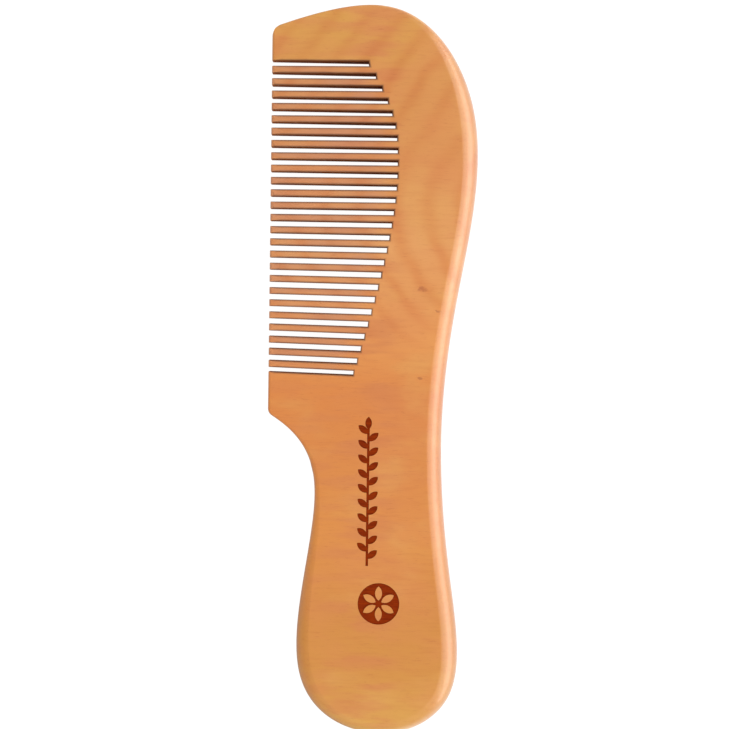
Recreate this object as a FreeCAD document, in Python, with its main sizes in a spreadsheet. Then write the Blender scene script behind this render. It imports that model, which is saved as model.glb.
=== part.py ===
"""Wooden handled comb, sawn from one board: a blade of teeth that meet the body at their roots."""

import FreeCAD, Part

import math
import os

import Sketcher
from FreeCAD import Placement, Rotation, Vector

# Driving dimensions in millimetres and degrees. X runs from the tooth tips to the spine, Y from the
# handle's end to the crown, Z through the board.
DIMENSIONS = {
    "tip_line_x": -25.3,
    "board_thickness": 9.5,
    "tip_thickness": 4.8,
    "taper_start_x": 14.0,
    "taper_full_y": -3.0,
    "taper_end_y": -45.0,
    "head_clear_y": 95.0,
    "crease_slope": 12.0,
    "front_corner_radius": 3.2,
    "heel_corner_radius": 2.0,
    "tip_edge_radius": 0.7,
    "tooth_pitch": 3.013,
    "tooth_pivot_x": -15.2,
    "tooth_tip_width": 1.7,
    "tooth_root_width": 1.8,
    "first_gap_y": 74.77,
    "fan_turn": 1.8,
    "guard_root_x": -2.2,
    "heel_root_x": -4.8,
    "heel_top_y": -0.3,
    "heel_foot_x": -15.5,
    "heel_foot_y": -30.0,
    "engraving_depth": 0.2,
    "vine_x": -0.5,
    "vine_foot_y": -48.0,
    "stem_width": 0.6,
    "stem_length": 34.0,
    "leaf_step": 3.6,
    "leaf_length": 3.2,
    "leaf_width": 1.6,
    "emblem_x": 2.5,
    "emblem_y": -57.3,
    "emblem_radius": 5.1,
    "petal_start": 0.8,
    "petal_length": 3.5,
    "petal_width": 1.7,
}

# The board's outline, from the front corner over the crown, down the spine, round the handle and up
# to the heel: spline poles as name, x, y and how far the bevel's crease lies inside the outline.
OUTLINE = [
    ("front", -25.3, 83.5, 0.5),
    ("brow", -5.5, 90.6, 0.2),
    ("crown", 11.6, 90.0, 1.2),
    ("shoulder", 26.3, 67.3, 4.8),
    ("bulge", 25.5, 39.8, 3.7),
    ("spine", 20.0, 15.1, 3.9),
    ("waist", 16.45, -15.8, 3.8),
    ("grip", 19.3, -49.6, 3.8),
    ("palm", 25.75, -82.8, 5.2),
    ("butt", 3.0, -93.8, 3.7),
    ("thumb", -22.95, -80.8, 4.4),
    ("neck", -11.95, -35.4, 1.5),
    ("throat", -13.35, -17.8, 1.0),
    ("heel", -25.3, -10.95, 0.6),
]

# The line through the roots of the gaps, from the front guard to the heel guard, as spline poles.
ROOT_LINE = [
    ("first_root", -1.9, 75.4),
    ("upper_root", 5.2, 63.55),
    ("deep_root", 6.4, 54.95),
    ("lower_root", 5.4, 32.0),
    ("last_root", -4.6, -1.35),
]

TOOTH_COUNT = 25
STRAIGHT_TEETH = 12
LEAF_PAIRS = 9
LEAF_LEAN = 40
PETAL_COUNT = 6
BEVEL_ANGLES = (90, 66, 45, 28)
OVERSIZE = 4.0
TOLERANCE = 1e-5
FACET_DEVIATION = 0.01

# Features that take material off, each after the one whose shape it starts from.
REMOVALS = (
    ("edge_rounding", "blade_taper"),
    ("both_faces", "front_corner"),
    ("front_corner", "heel_corner"),
    ("tooth_strip", "blunt_strip"),
    ("ornament", "engraving"),
    ("sawn_board", "comb_body"),
)


def make_sheet(doc):
    """A spreadsheet with one aliased cell for each driving dimension and each pole coordinate."""
    sheet = doc.addObject("Spreadsheet::Sheet", "Params")
    values = dict(DIMENSIONS)
    for name, x, y, inset in OUTLINE:
        values.update({name + "_x": x, name + "_y": y, name + "_inset": inset})
    for name, x, y in ROOT_LINE:
        values.update({name + "_x": x, name + "_y": y})
    for row, (alias, value) in enumerate(values.items(), start=1):
        sheet.set(f"A{row}", alias)
        sheet.set(f"B{row}", str(value))
        sheet.setAlias(f"B{row}", alias)
    doc.recompute()
    return sheet


def origin_plane(body, role):
    return next(feature for feature in body.Origin.OriginFeatures if feature.Role == role)


def add_sketch(body, name, role="XY_Plane", offset=0.0, offset_formula=None):
    """A sketch on one of the body's own origin planes, moved along the plane's normal."""
    sketch = body.newObject("Sketcher::SketchObject", name)
    sketch.AttachmentSupport = [(origin_plane(body, role), "")]
    sketch.MapMode = "FlatFace"
    sketch.AttachmentOffset = Placement(Vector(0, 0, offset), Rotation())
    if offset_formula:
        sketch.setExpression(".AttachmentOffset.Base.z", offset_formula)
    return sketch


def pin_point(sketch, geometry, position, point, formulas):
    """Ties a sketch point to the sheet with one distance along each axis."""
    for kind, value, formula in zip(("DistanceX", "DistanceY"), point, formulas):
        index = sketch.addConstraint(Sketcher.Constraint(kind, -1, 1, geometry, position, value))
        label = f"{kind}_{geometry}_{position}"
        sketch.renameConstraint(index, label)
        sketch.setExpression("Constraints." + label, formula)


def add_spline(sketch, points, formulas):
    """A cubic spline with even knots whose poles are tied to the sheet."""
    spans = len(points) - 3
    curve = Part.BSplineCurve()
    poles = [Vector(x, y, 0) for x, y in points]
    curve.buildFromPolesMultsKnots(poles, [4] + [1] * (spans - 1) + [4], list(range(spans + 1)), False, 3)
    spline = sketch.addGeometry(curve)
    circles = [sketch.addGeometry(Part.Circle(pole, Vector(0, 0, 1), 1.0), True) for pole in poles]
    kind = "InternalAlignment:Sketcher::BSplineControlPoint"
    sketch.addConstraint([Sketcher.Constraint(kind, c, 3, spline, i) for i, c in enumerate(circles)])
    for circle, point, formula in zip(circles, points, formulas):
        sketch.addConstraint(Sketcher.Constraint("Weight", circle, 1.0))
        pin_point(sketch, circle, 3, point, formula)
    return spline


def close_with_lines(sketch, first, last, corners, formulas):
    """Straight lines from the end of one curve to the start of another through pinned corners."""
    count = len(corners) + 1
    start = sketch.Geometry[last].EndPoint
    end = sketch.Geometry[first].StartPoint
    stops = [start] + [Vector(x, y, 0) for x, y in corners] + [end]
    lines = [sketch.addGeometry(Part.LineSegment(stops[i], stops[i + 1])) for i in range(count)]
    sketch.addConstraint(Sketcher.Constraint("Coincident", last, 2, lines[0], 1))
    for i in range(count - 1):
        sketch.addConstraint(Sketcher.Constraint("Coincident", lines[i], 2, lines[i + 1], 1))
        pin_point(sketch, lines[i], 2, corners[i], formulas[i])
    sketch.addConstraint(Sketcher.Constraint("Coincident", lines[-1], 2, first, 1))


def add_polygon(sketch, points, formulas):
    """A closed polygon whose corners are tied to the sheet."""
    count = len(points)
    corners = [Vector(x, y, 0) for x, y in points]
    lines = [
        sketch.addGeometry(Part.LineSegment(corners[i], corners[(i + 1) % count])) for i in range(count)
    ]
    for i, line in enumerate(lines):
        following = lines[(i + 1) % count]
        sketch.addConstraint(Sketcher.Constraint("Coincident", line, 2, following, 1))
        pin_point(sketch, line, 1, points[i], formulas[i])


def inset_directions():
    """Unit vectors into the board at each outline pole; the two end poles slide on the tip line."""
    directions = []
    for before, after in zip(OUTLINE, OUTLINE[2:]):
        along = Vector(after[1] - before[1], after[2] - before[2], 0).normalize()
        directions.append((along.y, -along.x))
    return [(0.0, -1.0)] + directions + [(0.0, 1.0)]


def add_outline(sketch, fraction):
    """The outline, moved towards the bevel's crease by a fraction of each pole's inset."""
    points = []
    formulas = []
    for (name, x, y, inset), (right, up) in zip(OUTLINE, inset_directions()):
        points.append((x + right * inset * fraction, y + up * inset * fraction))
        formulas.append(
            (
                f"Params.{name}_x + Params.{name}_inset * {right * fraction:.6f}",
                f"Params.{name}_y + Params.{name}_inset * {up * fraction:.6f}",
            )
        )
    spline = add_spline(sketch, points, formulas)
    close_with_lines(sketch, spline, spline, [], [])


def add_board_half(body, size):
    """Loft from the mid-plane outline up to the crease: an edge rounded from upright to a slope."""
    half = size["board_thickness"] / 2
    slope = math.radians(size["crease_slope"])
    sketches = []
    for angle in BEVEL_ANGLES + (size["crease_slope"],):
        lean = math.radians(angle)
        fraction = (1 - math.sin(lean)) / (1 - math.sin(slope))
        height = math.cos(lean) / math.cos(slope)
        formula = f"Params.board_thickness / 2 * {height:.6f}"
        sketch = add_sketch(body, f"section_{len(sketches)}", "XY_Plane", half * height, formula)
        add_outline(sketch, fraction)
        sketches.append(sketch)
    loft = body.newObject("PartDesign::AdditiveLoft", "edge_rounding")
    loft.Profile = sketches[0]
    loft.Sections = sketches[1:]
    loft.Ruled = False
    return loft


def add_blade_taper(body, size):
    """Wedge off the face from the taper's start to the tips, fading out along the neck."""
    half = size["board_thickness"] / 2
    depth = (size["board_thickness"] - size["tip_thickness"]) / 2
    stations = (("head_clear_y", 1.0), ("taper_full_y", 1.0), ("taper_end_y", 0.0))
    run = size["taper_start_x"] - size["tip_line_x"]
    reach = (run + OVERSIZE) / run
    sketches = []
    for alias, share in stations:
        sketch = add_sketch(body, f"taper_{alias}", "XZ_Plane", -size[alias], f"-Params.{alias}")
        left = size["tip_line_x"] - OVERSIZE
        low = half - depth * share * reach
        top = half + OVERSIZE
        points = [(size["taper_start_x"], half), (size["taper_start_x"], top), (left, top), (left, low)]
        left_formula = f"Params.tip_line_x - {OVERSIZE}"
        top_formula = f"Params.board_thickness / 2 + {OVERSIZE}"
        drop = f"(Params.board_thickness - Params.tip_thickness) / 2 * {share * reach:.6f}"
        formulas = [
            ("Params.taper_start_x", "Params.board_thickness / 2"),
            ("Params.taper_start_x", top_formula),
            (left_formula, top_formula),
            (left_formula, f"Params.board_thickness / 2 - {drop}"),
        ]
        add_polygon(sketch, points, formulas)
        sketches.append(sketch)
    taper = body.newObject("PartDesign::SubtractiveLoft", "blade_taper")
    taper.Profile = sketches[0]
    taper.Sections = sketches[1:]
    taper.Ruled = True
    return taper


def fillet_corner(body, base, name, end, radius_alias):
    """Rounds the upright corner of the board where the tip line meets one end of the outline."""
    corner = Vector(end[1], end[2], 0)
    reach = body.Document.getObject("Params").board_thickness / 2
    names = []
    for index, edge in enumerate(base.Shape.Edges, start=1):
        upright = edge.BoundBox.ZLength > edge.BoundBox.YLength
        if upright and (edge.CenterOfMass - corner).Length < reach:
            names.append(f"Edge{index}")
    fillet = body.newObject("PartDesign::Fillet", name)
    fillet.Base = (base, names)
    fillet.setExpression("Radius", "Params." + radius_alias)
    body.Document.recompute()
    return fillet


def make_board(doc, size):
    """The whole board before sawing: rounded edges, tapered blade, both faces alike."""
    body = doc.addObject("PartDesign::Body", "board")
    rounding = add_board_half(body, size)
    taper = add_blade_taper(body, size)
    mirrored = body.newObject("PartDesign::Mirrored", "both_faces")
    mirrored.Originals = [rounding, taper]
    mirrored.MirrorPlane = (origin_plane(body, "XY_Plane"), [""])
    body.Tip = mirrored
    doc.recompute()
    rounded = fillet_corner(body, mirrored, "front_corner", OUTLINE[0], "front_corner_radius")
    fillet_corner(body, rounded, "heel_corner", OUTLINE[-1], "heel_corner_radius")
    return body


def pad_through(body, sketch):
    """Pads a plan sketch through the board and past both of its faces."""
    pad = body.newObject("PartDesign::Pad", sketch.Name + "_pad")
    pad.Profile = sketch
    pad.Midplane = True
    pad.setExpression("Length", f"Params.board_thickness + {2 * OVERSIZE}")
    return pad


def make_tooth_field(doc, size):
    """All that lies between the guards and left of the root line, where teeth and gaps are."""
    body = doc.addObject("PartDesign::Body", "tooth_field")
    sketch = add_sketch(body, "field_plan")
    points = [(x, y) for _, x, y in ROOT_LINE]
    formulas = [(f"Params.{name}_x", f"Params.{name}_y") for name, _, _ in ROOT_LINE]
    spline = add_spline(sketch, points, formulas)
    left = size["tip_line_x"] - OVERSIZE
    rise = (points[-1][0] - left) * math.tan(math.radians(size["fan_turn"]))
    corners = [(left, points[-1][1] + rise), (left, points[0][1])]
    left_formula = f"Params.tip_line_x - {OVERSIZE}"
    slope = "tan(Params.fan_turn * 1 deg)"
    rise_formula = f"(Params.last_root_x - Params.tip_line_x + {OVERSIZE}) * {slope}"
    corner_formulas = [
        (left_formula, f"Params.last_root_y + {rise_formula}"),
        (left_formula, "Params.first_root_y"),
    ]
    close_with_lines(sketch, spline, spline, corners, corner_formulas)
    pad_through(body, sketch)
    return body


def make_front_block(doc):
    """The space that the front guard fills, from the first gap to past the crown."""
    block = doc.addObject("Part::Box", "front_block")
    half = f"(Params.board_thickness / 2 + {OVERSIZE})"
    block.setExpression("Length", f"Params.guard_root_x - Params.tip_line_x + {OVERSIZE}")
    block.setExpression("Width", "Params.head_clear_y - Params.first_gap_y")
    block.setExpression("Height", f"2 * {half}")
    block.setExpression(".Placement.Base.x", f"Params.tip_line_x - {OVERSIZE}")
    block.setExpression(".Placement.Base.y", "Params.first_gap_y")
    block.setExpression(".Placement.Base.z", f"-{half}")
    return block


def make_heel_block(doc, size):
    """The space that the heel guard fills, from the last gap to the neck."""
    body = doc.addObject("PartDesign::Body", "heel_block")
    sketch = add_sketch(body, "heel_plan")
    left = size["tip_line_x"] - OVERSIZE
    left_formula = f"Params.tip_line_x - {OVERSIZE}"
    points = [
        (left, size["heel_top_y"]),
        (size["heel_root_x"], size["heel_top_y"]),
        (size["heel_foot_x"], size["heel_foot_y"]),
        (left, size["heel_foot_y"]),
    ]
    formulas = [
        (left_formula, "Params.heel_top_y"),
        ("Params.heel_root_x", "Params.heel_top_y"),
        ("Params.heel_foot_x", "Params.heel_foot_y"),
        (left_formula, "Params.heel_foot_y"),
    ]
    add_polygon(sketch, points, formulas)
    pad_through(body, sketch)
    return body


def combine(doc, kind, name, base, tool):
    result = doc.addObject(kind, name)
    result.Base = base
    result.Tool = tool
    return result


def blunt_tips(doc, strip, sheet):
    """Rounds the two long edges of the tooth strip's tip face."""
    edges = []
    for index, edge in enumerate(strip.Shape.Edges, start=1):
        box = edge.BoundBox
        on_tip_face = box.XMax < sheet.tip_line_x + TOLERANCE
        if on_tip_face and box.YLength > box.ZLength:
            edges.append((index, sheet.tip_edge_radius, sheet.tip_edge_radius))
    fillet = doc.addObject("Part::Fillet", "blunt_strip")
    fillet.Base = strip
    fillet.Edges = edges
    return fillet


def make_tooth(doc, strip, number):
    """One tooth: the part of the strip inside a wedge that turns more towards the heel."""
    middle = number - 0.5
    turn_share = max(0.0, (middle - STRAIGHT_TEETH) / (TOOTH_COUNT - STRAIGHT_TEETH))
    name = f"tooth_{number:02d}"
    wedge = doc.addObject("Part::Wedge", name + "_wedge")
    half = f"(Params.board_thickness / 2 + {OVERSIZE})"
    sizes = {
        "Ymin": f"Params.tip_line_x - Params.tooth_pivot_x - {OVERSIZE}",
        "Ymax": f"Params.deep_root_x - Params.tooth_pivot_x + {OVERSIZE}",
        "Xmin": "-Params.tooth_tip_width / 2",
        "Xmax": "Params.tooth_tip_width / 2",
        "X2min": "-Params.tooth_root_width / 2",
        "X2max": "Params.tooth_root_width / 2",
        "Zmin": "-" + half,
        "Zmax": half,
        "Z2min": "-" + half,
        "Z2max": half,
    }
    for field, formula in sizes.items():
        wedge.setExpression(field, formula)
    wedge.Placement = Placement(Vector(), Rotation(Vector(0, 0, -1), 90))
    wedge.setExpression(".Placement.Base.x", "Params.tooth_pivot_x")
    wedge.setExpression(".Placement.Base.y", f"Params.first_gap_y - Params.tooth_pitch * {middle}")
    wedge.setExpression(".Placement.Rotation.Angle", f"90 deg + Params.fan_turn * {turn_share:.6f} * 1 deg")
    return combine(doc, "Part::Common", name, strip, wedge)


def add_leaf(sketch, base, base_formulas, kind, turn, size):
    """A leaf outline of two equal arcs from its base to a tip that points along turn."""
    length = size[kind + "_length"]
    width = size[kind + "_width"]
    radius = length**2 / (4 * width) + width / 4
    spread = math.asin(length / 2 / radius)
    lean = math.radians(turn)
    across = math.cos(lean)
    up = math.sin(lean)
    middle = Vector(base[0] + across * length / 2, base[1] + up * length / 2, 0)
    offset = Vector(-up, across, 0) * (radius - width / 2)
    arcs = []
    for centre, facing in ((middle - offset, lean + math.pi / 2), (middle + offset, lean - math.pi / 2)):
        circle = Part.Circle(centre, Vector(0, 0, 1), radius)
        arc = sketch.addGeometry(Part.ArcOfCircle(circle, facing - spread, facing + spread))
        index = sketch.addConstraint(Sketcher.Constraint("Radius", arc, radius))
        sketch.renameConstraint(index, f"radius_{arc}")
        formula = f"Params.{kind}_length^2 / (4 * Params.{kind}_width) + Params.{kind}_width / 4"
        sketch.setExpression(f"Constraints.radius_{arc}", formula)
        arcs.append(arc)
    sketch.addConstraint(Sketcher.Constraint("Coincident", arcs[0], 2, arcs[1], 1))
    sketch.addConstraint(Sketcher.Constraint("Coincident", arcs[1], 2, arcs[0], 1))
    tip = (base[0] + across * length, base[1] + up * length)
    tip_formulas = (
        f"{base_formulas[0]} + Params.{kind}_length * {across:.6f}",
        f"{base_formulas[1]} + Params.{kind}_length * {up:.6f}",
    )
    pin_point(sketch, arcs[0], 2, base, base_formulas)
    pin_point(sketch, arcs[0], 1, tip, tip_formulas)


def pad_up(body, sketch):
    """Pads a plan sketch from the mid-plane to past the front face."""
    pad = body.newObject("PartDesign::Pad", sketch.Name + "_pad")
    pad.Profile = sketch
    pad.setExpression("Length", f"Params.board_thickness / 2 + {OVERSIZE}")
    return pad


def add_stem(body, size):
    """The vine's stem: a thin upright bar."""
    sketch = add_sketch(body, "stem")
    points = []
    formulas = []
    for side, end in ((-0.5, 0), (0.5, 0), (0.5, 1), (-0.5, 1)):
        x = size["vine_x"] + side * size["stem_width"]
        y = size["vine_foot_y"] + end * size["stem_length"]
        x_formula = f"Params.vine_x + Params.stem_width * {side}"
        y_formula = f"Params.vine_foot_y + Params.stem_length * {end}"
        points.append((x, y))
        formulas.append((x_formula, y_formula))
    add_polygon(sketch, points, formulas)
    pad_up(body, sketch)


def make_vine(doc, size):
    """The burnt vine on the handle: a stem, leaves in staggered pairs and one leaf at its end."""
    body = doc.addObject("PartDesign::Body", "vine")
    add_stem(body, size)
    leaves = add_sketch(body, "leaf_pair")
    for side, turn in enumerate((LEAF_LEAN, 180 - LEAF_LEAN), start=1):
        rise = side * size["leaf_step"] / 2
        base = (size["vine_x"], size["vine_foot_y"] + rise)
        base_formulas = ("Params.vine_x", f"Params.vine_foot_y + Params.leaf_step * {side / 2}")
        add_leaf(leaves, base, base_formulas, "leaf", turn, size)
    pair = pad_up(body, leaves)
    pattern = body.newObject("PartDesign::LinearPattern", "leaf_pairs")
    pattern.Originals = [pair]
    pattern.Direction = (origin_plane(body, "Y_Axis"), [""])
    pattern.Occurrences = LEAF_PAIRS
    pattern.setExpression("Length", f"Params.leaf_step * {LEAF_PAIRS - 1}")
    body.Tip = pattern
    crown = add_sketch(body, "end_leaf")
    base = (size["vine_x"], size["vine_foot_y"] + size["stem_length"] - size["stem_width"])
    end_formula = "Params.vine_foot_y + Params.stem_length - Params.stem_width"
    add_leaf(crown, base, ("Params.vine_x", end_formula), "leaf", 90, size)
    pad_up(body, crown)
    return body


def add_circle(sketch, centre, formulas, radius_alias, size):
    circle = sketch.addGeometry(Part.Circle(Vector(*centre, 0), Vector(0, 0, 1), size[radius_alias]))
    pin_point(sketch, circle, 3, centre, formulas)
    index = sketch.addConstraint(Sketcher.Constraint("Radius", circle, size[radius_alias]))
    sketch.renameConstraint(index, radius_alias)
    sketch.setExpression("Constraints." + radius_alias, "Params." + radius_alias)


def make_emblem(doc, size):
    """The burnt roundel below the vine: a disc around a ring of petals that are left standing."""
    body = doc.addObject("PartDesign::Body", "emblem")
    disc = add_sketch(body, "disc")
    centre = (size["emblem_x"], size["emblem_y"])
    add_circle(disc, centre, ("Params.emblem_x", "Params.emblem_y"), "emblem_radius", size)
    for petal in range(PETAL_COUNT):
        turn = 90 + 360 / PETAL_COUNT * petal
        across = math.cos(math.radians(turn))
        up = math.sin(math.radians(turn))
        foot = (centre[0] + size["petal_start"] * across, centre[1] + size["petal_start"] * up)
        foot_formulas = (
            f"Params.emblem_x + Params.petal_start * {across:.6f}",
            f"Params.emblem_y + Params.petal_start * {up:.6f}",
        )
        add_leaf(disc, foot, foot_formulas, "petal", turn, size)
    pad_up(body, disc)
    return body


def make_engraving(doc, board, size):
    """What the burning takes off: the ornament down to a face one engraving depth below the board's."""
    ornament = doc.addObject("Part::MultiFuse", "ornament")
    ornament.Shapes = [make_vine(doc, size), make_emblem(doc, size)]
    lowered = doc.addObject("Part::Compound", "lowered_board")
    lowered.Links = [board]
    lowered.setExpression(".Placement.Base.z", "-Params.engraving_depth")
    return combine(doc, "Part::Cut", "engraving", ornament, lowered)


def check_document(doc):
    for item in doc.Objects:
        if "Invalid" in item.State or "Error" in item.State:
            raise RuntimeError(f"{item.Name} failed: {item.State}")


def facet_volume(shape):
    """Volume inside fine facets, since the direct integral is coarse over long spline faces."""
    points, facets = shape.tessellate(FACET_DEVIATION)
    return sum(points[a].dot(points[b].cross(points[c])) for a, b, c in facets) / 6


def check_removal(doc, before, after):
    """A taper, rounding or cut has to leave less than the shape it works on."""
    left = facet_volume(doc.getObject(after).Shape)
    if left <= 0 or left >= facet_volume(doc.getObject(before).Shape):
        raise RuntimeError(f"{after} takes nothing off {before}")


def check_piece(piece):
    shape = piece.Shape
    if shape.isNull() or not shape.isValid() or len(shape.Solids) != 1:
        raise RuntimeError(f"{piece.Label} isn't one valid solid")


def main():
    doc = FreeCAD.newDocument("Comb")
    sheet = make_sheet(doc)
    size = DIMENSIONS
    board = make_board(doc, size)
    field = make_tooth_field(doc, size)
    guard_blocks = (make_front_block(doc), make_heel_block(doc, size))
    sawn = combine(doc, "Part::Cut", "sawn_board", board, field)
    strip = combine(doc, "Part::Common", "tooth_strip", board, field)
    doc.recompute()
    blunt = blunt_tips(doc, strip, sheet)

    removed = doc.addObject("Part::MultiFuse", "removed_from_body")
    removed.Shapes = [*guard_blocks, make_engraving(doc, board, size)]
    pieces = [combine(doc, "Part::Cut", "comb_body", sawn, removed)]
    for name, block in zip(("front_guard", "heel_guard"), guard_blocks):
        pieces.append(combine(doc, "Part::Common", name, sawn, block))
    for number in range(1, TOOTH_COUNT + 1):
        pieces.append(make_tooth(doc, blunt, number))
    for piece in pieces:
        piece.setExpression(".Placement.Base.z", "Params.board_thickness / 2")
    doc.recompute()

    check_document(doc)
    for before, after in REMOVALS:
        check_removal(doc, before, after)
    for piece in pieces:
        check_piece(piece)
    os.makedirs("parts", exist_ok=True)
    for piece in pieces:
        piece.Shape.exportStep(f"parts/{piece.Label}.step")


main()
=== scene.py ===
"""Looks of the wooden comb: each region of the board as its own finely rounded mesh in oiled wood."""

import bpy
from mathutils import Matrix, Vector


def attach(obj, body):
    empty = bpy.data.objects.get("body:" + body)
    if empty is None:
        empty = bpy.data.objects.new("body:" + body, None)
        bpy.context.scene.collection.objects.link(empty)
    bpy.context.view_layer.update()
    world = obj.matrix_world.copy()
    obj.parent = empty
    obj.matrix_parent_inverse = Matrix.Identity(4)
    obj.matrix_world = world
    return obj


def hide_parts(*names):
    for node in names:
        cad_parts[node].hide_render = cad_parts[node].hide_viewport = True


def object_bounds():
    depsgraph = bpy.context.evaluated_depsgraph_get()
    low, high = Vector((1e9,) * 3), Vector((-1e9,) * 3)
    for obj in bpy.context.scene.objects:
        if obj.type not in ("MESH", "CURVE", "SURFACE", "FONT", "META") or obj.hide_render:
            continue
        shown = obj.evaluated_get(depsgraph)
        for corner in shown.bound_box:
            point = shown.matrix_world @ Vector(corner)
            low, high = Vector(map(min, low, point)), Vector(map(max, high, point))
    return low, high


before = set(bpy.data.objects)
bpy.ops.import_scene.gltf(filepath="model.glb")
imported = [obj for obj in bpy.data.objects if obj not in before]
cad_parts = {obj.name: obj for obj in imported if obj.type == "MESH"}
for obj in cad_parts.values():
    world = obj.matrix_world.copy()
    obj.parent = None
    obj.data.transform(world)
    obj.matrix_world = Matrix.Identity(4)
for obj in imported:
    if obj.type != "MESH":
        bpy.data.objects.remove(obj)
cad_bounds = [[float(v) for v in corner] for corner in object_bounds()]

import math

import bmesh
import bpy
import numpy as np
from mathutils import Matrix, Vector
from mathutils.geometry import delaunay_2d_cdt

# Plan sizes are in millimetres in the part's own frame, as the board is designed; MM makes metres.
MM = 0.001

# The board's outline as spline poles (x, y, inset of the bevel's crease), from the front corner over
# the crown, down the spine, round the handle and up to the heel.
OUTLINE = [
    (-25.3, 83.5, 0.5),
    (-5.5, 90.6, 0.2),
    (11.6, 90.0, 1.2),
    (26.3, 67.3, 4.8),
    (25.5, 39.8, 3.7),
    (20.0, 15.1, 3.9),
    (16.45, -15.8, 3.8),
    (19.3, -49.6, 3.8),
    (25.75, -82.8, 5.2),
    (3.0, -93.8, 3.7),
    (-22.95, -80.8, 4.4),
    (-11.95, -35.4, 1.5),
    (-13.35, -17.8, 1.0),
    (-25.3, -10.95, 0.6),
]

# The line through the roots of the gaps as spline poles, from the front guard to the heel guard.
ROOT_LINE = [(-1.9, 75.4), (5.2, 63.55), (6.4, 54.95), (5.4, 32.0), (-4.6, -1.35)]

THICKNESS = 9.5
TIP_THICKNESS = 4.8
TIP_LINE = -25.3
TAPER_START = 14.0
TAPER_FULL_Y = -3.0
TAPER_END_Y = -45.0
TAPER_SOFTNESS = 2.5

TOOTH_COUNT = 25
STRAIGHT_TEETH = 12
TOOTH_PITCH = 3.013
TOOTH_PIVOT = -15.2
TOOTH_TIP_WIDTH = 1.7
TOOTH_ROOT_WIDTH = 1.8
FIRST_GAP_Y = 74.77
FAN_TURN = 1.8
SIDE_OVERRUN = 4.0

# The guards' joint lines: the front one runs straight up, the heel one from its head to its foot.
GUARD_JOINT_X = -2.2
HEEL_HEAD = (-4.8, -0.8)
HEEL_FOOT = (-15.5, -30.0)

# The rounded edges: how steeply the face falls at the crease, how far down the rounding reaches, and
# the widths and corner radii of the stretches.
CREASE_SLOPE = 12.0
FULL_SLOPE_WIDTH = 3.0
CREASE_TURN = 2.5
DROP_PER_WIDTH = 1.22
LEAST_WALL = 0.15
EDGE_WIDTH = 0.2
TIP_WIDTH = 0.65
TIP_CORNER = 0.15
SLOT_SLANT = 0.3
FRONT_CORNER = 3.2
HEEL_CORNER = 2.0
CORNER_MARGIN = 0.3
SUPPORT = 0.3
# How far the darkening of the gaps' walls, saw burn and painted shade, reaches onto the rounded edge.
BURN_AND_SHADE_DEPTH = 0.28
HANDLED_FADE = 6.0
BEVEL_STEPS = 9
SHARP_ANGLE = math.radians(38)

# Material slots of every piece, and how many strips above and below mid-height count as sawn wall, whose
# darker colour is saw burn together with painted shade inside the gaps.
WOOD, SAWN_BURN_AND_SHADE, BURNT = range(3)
BURN_AND_SHADE_STRIPS = 2

ENGRAVING_DEPTH = 0.2
VINE = (-0.5, -48.0)
STEM_SIZE = (0.6, 34.0)
LEAF_STEP = 3.6
LEAF_PAIRS = 9
LEAF_LEAN = 40
LEAF_SIZE = (3.2, 1.6)
EMBLEM = (2.5, -57.3)
EMBLEM_RADIUS = 5.1
PETAL_COUNT = 6
PETAL_START = 0.8
PETAL_SIZE = (3.5, 1.7)


def unit(vector):
    return np.asarray(vector, float) / np.linalg.norm(vector)


def right_of(direction):
    """The normal on the right of a direction; loops run clockwise, so it points into the wood."""
    return np.array([direction[1], -direction[0]])


def smoothstep(value):
    value = np.clip(value, 0.0, 1.0)
    return value * value * (3 - 2 * value)


def spline(poles, at):
    """Points of a clamped cubic spline with even knots, one row for each parameter in at."""
    poles = np.asarray(poles, float)
    spans = len(poles) - 3
    knots = np.concatenate([np.zeros(3), np.arange(spans + 1), np.full(3, spans)]).astype(float)
    at = np.clip(np.asarray(at, float), 0, spans - 1e-9)
    weights = [((knots[i] <= at) & (at < knots[i + 1])).astype(float) for i in range(len(knots) - 1)]
    for degree in (1, 2, 3):
        raised = []
        for i in range(len(weights) - 1):
            total = np.zeros_like(at)
            if knots[i + degree] > knots[i]:
                total += weights[i] * (at - knots[i]) / (knots[i + degree] - knots[i])
            last = knots[i + degree + 1]
            if last > knots[i + 1]:
                total += weights[i + 1] * (last - at) / (last - knots[i + 1])
            raised.append(total)
        weights = raised
    return np.stack(weights, axis=1) @ poles


def face_height(x, y):
    """Height of the face above the board's mid-plane: flat handle, blade ground down to the tips."""
    slope = (THICKNESS - TIP_THICKNESS) / 2 / (TAPER_START - TIP_LINE)
    run = TAPER_START - np.asarray(x, float)
    soft = TAPER_SOFTNESS * np.logaddexp(0, run / TAPER_SOFTNESS)
    fade = smoothstep((np.asarray(y, float) - TAPER_END_Y) / (TAPER_FULL_Y - TAPER_END_Y))
    return THICKNESS / 2 - slope * soft * fade


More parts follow.
